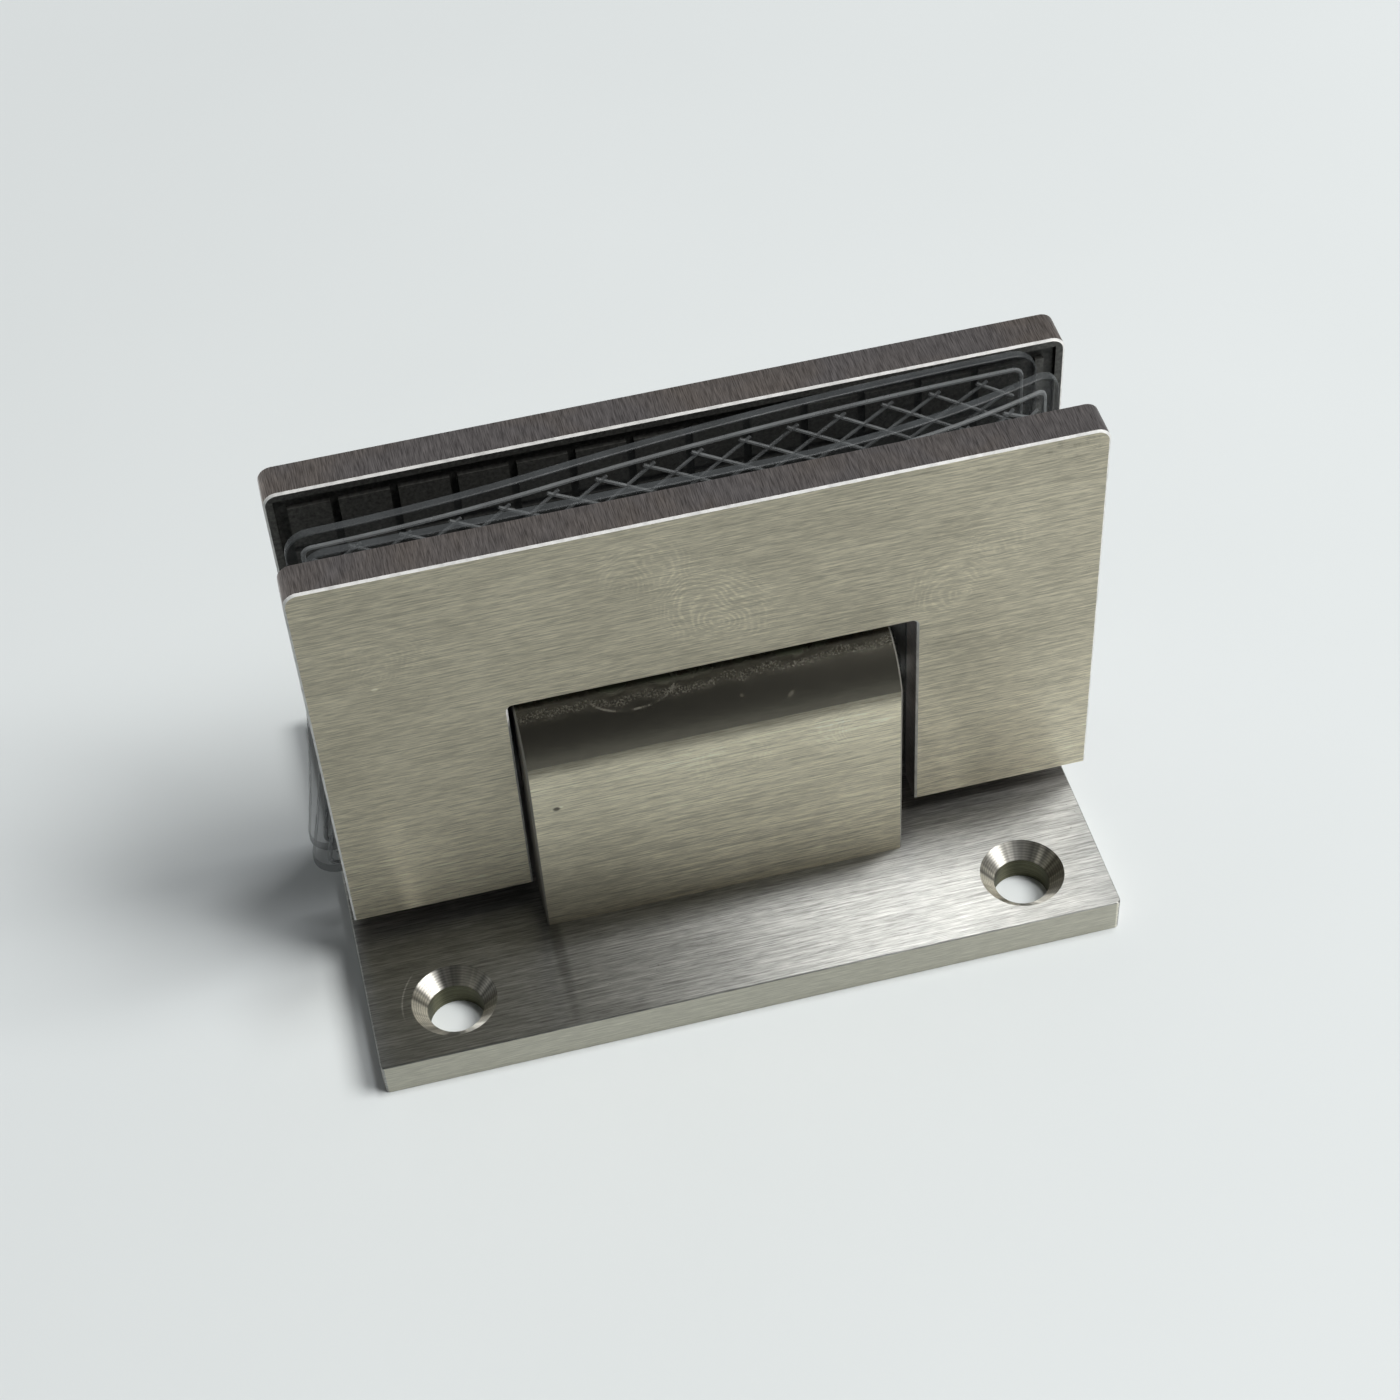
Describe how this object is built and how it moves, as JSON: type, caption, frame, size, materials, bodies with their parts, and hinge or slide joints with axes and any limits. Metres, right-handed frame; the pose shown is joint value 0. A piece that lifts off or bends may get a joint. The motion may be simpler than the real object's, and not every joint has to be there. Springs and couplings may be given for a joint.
{
  "type": "glass door hinge",
  "caption": "Wall-mounted glass door hinge: an upright knuckle block on a countersunk wall plate, with a pair of notched, brushed clamp plates that swing about its pin.",
  "frame": {"origin": "centre of the wall plate's back face", "axes": "+X along the hinge pin, +Z away from the wall, the door shut with its glass in the XZ plane, -Y towards the plain clamp plate"},
  "size_m": [0.099, 0.06, 0.0635],
  "materials": {
    "brushed_plate": "linear brushed on the faces, cross brushed on the edges, dark as-cast grip pattern on the inner faces",
    "screw_steel": "plain machined",
    "ground_steel": "ground smooth",
    "spring_steel": "drawn wire",
    "nylon": "turned nylon",
    "clear_gasket": "clear soft moulding, slightly smoky"
  },
  "bodies": {
    "wall_side": {"wall_plate": "brushed_plate", "knuckle_block": "brushed_plate", "block_screw_left": "screw_steel", "block_screw_right": "screw_steel", "pin_bush_left": "nylon", "pin_bush_right": "nylon", "pressure_block": "ground_steel", "centring_spring_left": "spring_steel", "centring_spring_right": "spring_steel"},
    "glass_side": {"pivot_pin": "ground_steel", "front_clamp_plate": "brushed_plate", "rear_clamp_plate": "brushed_plate", "clamp_screw_lower_left": "screw_steel", "clamp_screw_upper_left": "screw_steel", "clamp_screw_lower_right": "screw_steel", "clamp_screw_upper_right": "screw_steel", "pin_set_screw_left": "screw_steel", "pin_set_screw_right": "screw_steel", "front_gasket": "clear_gasket", "rear_gasket": "clear_gasket"}
  },
  "joints": [
    {"name": "door_swing", "type": "hinge", "parent": "wall_side", "child": "glass_side", "pos_m": [0, 0, 0.0242], "axis": [1, 0, 0], "range_deg": [-90, 90]}
  ]
}
